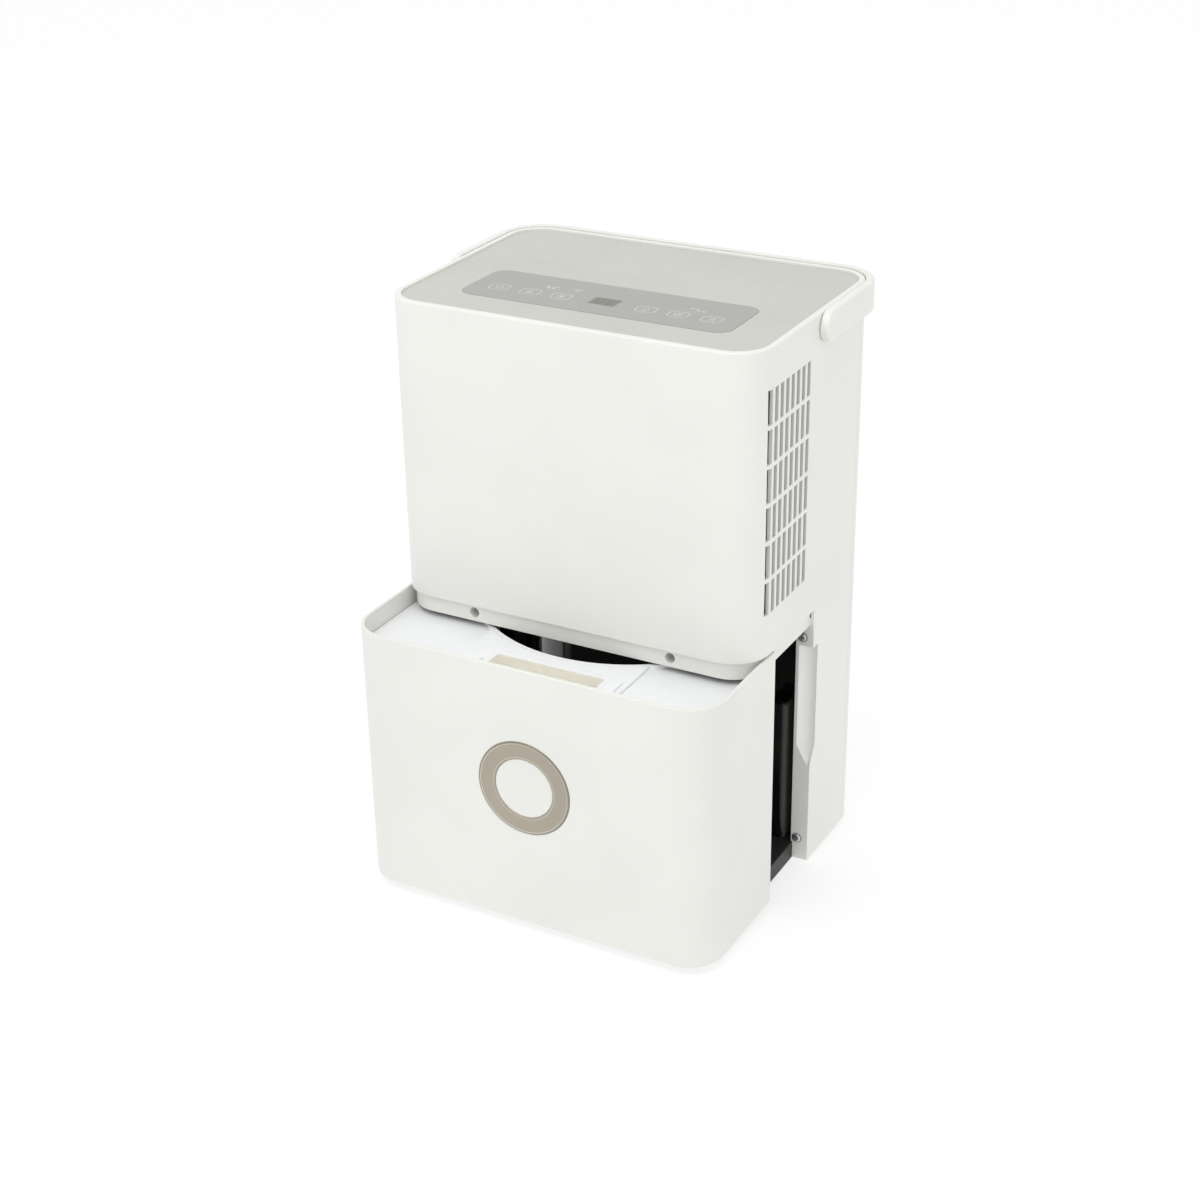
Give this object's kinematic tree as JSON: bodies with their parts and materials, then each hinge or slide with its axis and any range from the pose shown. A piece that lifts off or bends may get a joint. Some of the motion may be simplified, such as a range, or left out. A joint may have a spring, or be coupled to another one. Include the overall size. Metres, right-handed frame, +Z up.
{
  "type": "dehumidifier",
  "caption": "Compressor dehumidifier with a touch-key top, folding carry handle, side air outlet, rear filter, and a water tank that draws out of the front.",
  "frame": {"origin": "on the floor, under the middle of the casing's plan", "axes": "+Z up; front, with the water tank, at -Y; air outlet at +X; air intake at +Y"},
  "size_m": [0.3008, 0.2786, 0.4405],
  "materials": {
    "casing_white": "moulded ABS, fine satin gloss",
    "panel_grey": "moulded ABS, fine satin",
    "strip_film": "printed film, satin",
    "display_dark": "smoked window",
    "lid_white": "moulded PP, satin",
    "tub_natural": "moulded PP, natural",
    "ring_taupe": "smoked taupe, satin",
    "float_white": "moulded PP",
    "magnet": "ferrite",
    "black_gloss": "high gloss moulded",
    "black_matt": "moulded ABS, fine texture",
    "rubber_black": "moulded rubber",
    "rubber_grey": "moulded soft rubber",
    "drip_grey": "moulded ABS",
    "enamel_black": "black enamel",
    "copper": "drawn copper",
    "fin_aluminium": "bare aluminium",
    "zinc_steel": "zinc plated",
    "motor_steel": "galvanised",
    "board_green": "solder resist",
    "mesh_grey": "woven nylon mesh"
  },
  "bodies": {
    "housing": {"accumulator": "enamel_black", "base_tray": "black_matt", "capillary_tube": "copper", "chassis_wall": "black_gloss", "coil_brackets": "zinc_steel", "compressor": "enamel_black", "compressor_bolts": "zinc_steel", "compressor_grommets": "rubber_black", "condenser_fins": "fin_aluminium", "condenser_tube": "copper", "control_board": "board_green", "control_strip": "strip_film", "cord_inlet": "black_matt", "discharge_pipe": "copper", "display_module": "black_matt", "display_window": "display_dark", "drain_outlet": "drip_grey", "drip_tray": "drip_grey", "evaporator_fins": "fin_aluminium", "evaporator_tube": "copper", "fan_motor": "motor_steel", "fan_scroll": "black_matt", "filter_drier": "copper", "flange_screws": "zinc_steel", "foot_pads": "rubber_black", "frost_sensor": "drip_grey", "handle_pivots": "casing_white", "humidity_sensor": "drip_grey", "lip_screws": "zinc_steel", "main_housing": "casing_white", "mid_deck": "black_matt", "motor_screws": "zinc_steel", "power_board": "board_green", "rear_housing": "casing_white", "rear_screws": "zinc_steel", "run_capacitor": "fin_aluminium", "suction_pipe": "copper", "tank_sensor": "black_matt", "terminal_cover": "black_matt", "top_panel": "panel_grey", "touch_springs": "zinc_steel"},
    "handle": {"carry_handle": "casing_white"},
    "tank": {"tank_cover": "casing_white", "level_ring": "ring_taupe", "tank_tub": "tub_natural", "tank_lid": "lid_white", "tank_grip": "lid_white"},
    "float": {"float_body": "float_white", "float_magnet": "magnet"},
    "fan": {"fan_impeller": "drip_grey", "fan_shaft": "zinc_steel", "fan_nut": "zinc_steel"},
    "filter": {"intake_grille": "casing_white", "filter_frame": "black_matt", "filter_mesh": "mesh_grey"},
    "plug": {"drain_plug": "rubber_grey"}
  },
  "joints": [
    {"name": "handle_fold", "type": "hinge", "parent": "housing", "child": "handle", "pos_m": [0, 0.009, 0.42925], "axis": [1, 0, 0], "range_deg": [0, 90]},
    {"name": "tank_slide", "type": "slide", "parent": "housing", "child": "tank", "axis": [0, -1, 0], "range_m": [-0.067, 0.133]},
    {"name": "float_rise", "type": "slide", "parent": "tank", "child": "float", "axis": [0, 0, 1], "range_m": [0, 0.04]},
    {"name": "fan_spin", "type": "hinge", "parent": "housing", "child": "fan", "pos_m": [-0.028, -0.04, 0.33], "axis": [0, 1, 0], "continuous": true},
    {"name": "filter_pull", "type": "slide", "parent": "housing", "child": "filter", "axis": [0, 1, 0], "range_m": [0, 0.04]},
    {"name": "plug_pull", "type": "slide", "parent": "housing", "child": "plug", "axis": [0, 1, 0], "range_m": [0, 0.04]}
  ]
}
